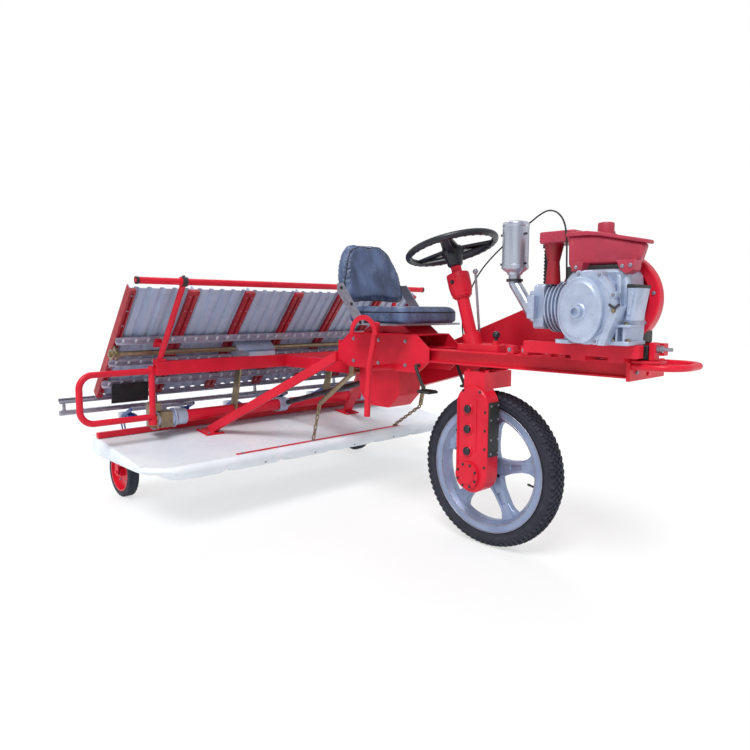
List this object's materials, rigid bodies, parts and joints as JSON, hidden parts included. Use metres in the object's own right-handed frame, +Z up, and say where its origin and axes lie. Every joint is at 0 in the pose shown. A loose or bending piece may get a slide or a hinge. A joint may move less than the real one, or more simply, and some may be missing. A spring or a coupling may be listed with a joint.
{
  "type": "rice transplanter",
  "caption": "Ride-on rice transplanter with a driven steered front wheel, an open engine, a seat, a white float and a sloping seedling tray.",
  "frame": {"origin": "on the ground under the middle of the bounding box", "axes": "+X forward, +Y to the driver's left, +Z up"},
  "size_m": [2.522, 2.2, 1.2855],
  "materials": {
    "red_paint": "gloss red enamel",
    "black_paint": "satin black enamel",
    "grey_steel": "galvanised",
    "dark_steel": "oiled steel",
    "zinc_yellow": "yellow passivated zinc",
    "cast_alloy": "sand-cast alloy",
    "wheel_alloy": "cast alloy, satin",
    "float_plastic": "white moulded polyethylene",
    "tray_plastic": "light grey sheet",
    "seat_vinyl": "charcoal vinyl",
    "black_rubber": "black rubber",
    "tyre_rubber": "tyre black",
    "grip_plastic": "moulded black",
    "blue_paint": "blue enamel",
    "silencer_metal": "bare steel"
  },
  "bodies": {
    "chassis": {"main_frame": "red_paint", "bumper_ring": "red_paint", "steering_head": "red_paint", "steering_column": "red_paint", "engine_mounts": "red_paint", "engine_block": "red_paint", "gear_case": "cast_alloy", "engine_cylinder": "dark_steel", "flywheel_shroud": "red_paint", "fuel_tank": "red_paint", "silencer": "silencer_metal", "seat_base": "red_paint", "seat_brackets": "grey_steel", "seat_cushion": "seat_vinyl", "seat_back": "seat_vinyl", "gear_lever": "grey_steel", "lift_lever": "red_paint", "lever_guide": "red_paint", "pedals": "black_paint", "gearbox": "red_paint", "belt_guard": "red_paint", "drive_shafts": "dark_steel", "rear_beam": "red_paint", "link_arms": "red_paint", "cross_member": "red_paint", "planting_beam": "red_paint", "beam_brackets": "zinc_yellow", "side_guard_right": "red_paint", "side_guard_left": "red_paint", "tray_struts": "red_paint", "tray_top_bar": "red_paint", "traverse_box": "cast_alloy", "guide_rails": "grey_steel", "planter_cases": "cast_alloy", "planting_arms": "blue_paint", "float": "float_plastic", "float_bars": "red_paint", "lift_chains": "zinc_yellow", "transport_forks": "red_paint", "throttle_cable": "black_rubber"},
    "tray": {"seedling_sheets": "tray_plastic", "row_fences": "tray_plastic", "tray_dividers": "red_paint", "tray_rails": "grey_steel", "tray_shoe": "grey_steel", "traverse_shaft": "zinc_yellow", "apron": "black_rubber"},
    "drive_leg": {"leg_case": "red_paint", "leg_plugs": "grip_plastic", "leg_plate": "black_paint", "kingpin": "dark_steel"},
    "front_wheel": {"front_axle": "dark_steel", "front_rim": "wheel_alloy", "front_tyre": "tyre_rubber"},
    "steering": {"steering_wheel": "grip_plastic"},
    "transport_wheel_right": {"transport_rim_right": "red_paint", "transport_tyre_right": "tyre_rubber"},
    "transport_wheel_left": {"transport_rim_left": "red_paint", "transport_tyre_left": "tyre_rubber"}
  },
  "joints": [
    {"name": "leg_steer", "type": "hinge", "parent": "chassis", "child": "drive_leg", "pos_m": [0.51, 0, 0.7], "axis": [0, 0, 1], "range_deg": [-50, 50]},
    {"name": "front_wheel_spin", "type": "hinge", "parent": "drive_leg", "child": "front_wheel", "pos_m": [0.51, 0, 0.3105], "axis": [0, 1, 0], "continuous": true},
    {"name": "steering_wheel_turn", "type": "hinge", "parent": "chassis", "child": "steering", "pos_m": [0.41, 0, 0.8], "axis": [-0.2939, 0, 0.9558], "range_deg": [-150, 150]},
    {"name": "tray_traverse", "type": "slide", "parent": "chassis", "child": "tray", "axis": [0, 1, 0], "range_m": [-0.14, 0.14]},
    {"name": "transport_wheel_right_spin", "type": "hinge", "parent": "chassis", "child": "transport_wheel_right", "pos_m": [-1.136, -0.779, 0.125], "axis": [0, 1, 0], "continuous": true},
    {"name": "transport_wheel_left_spin", "type": "hinge", "parent": "chassis", "child": "transport_wheel_left", "pos_m": [-1.136, 0.779, 0.125], "axis": [0, 1, 0], "continuous": true}
  ],
  "couplings": [
    {"joint": "steering_wheel_turn", "follows": "leg_steer", "ratio": 3}
  ]
}
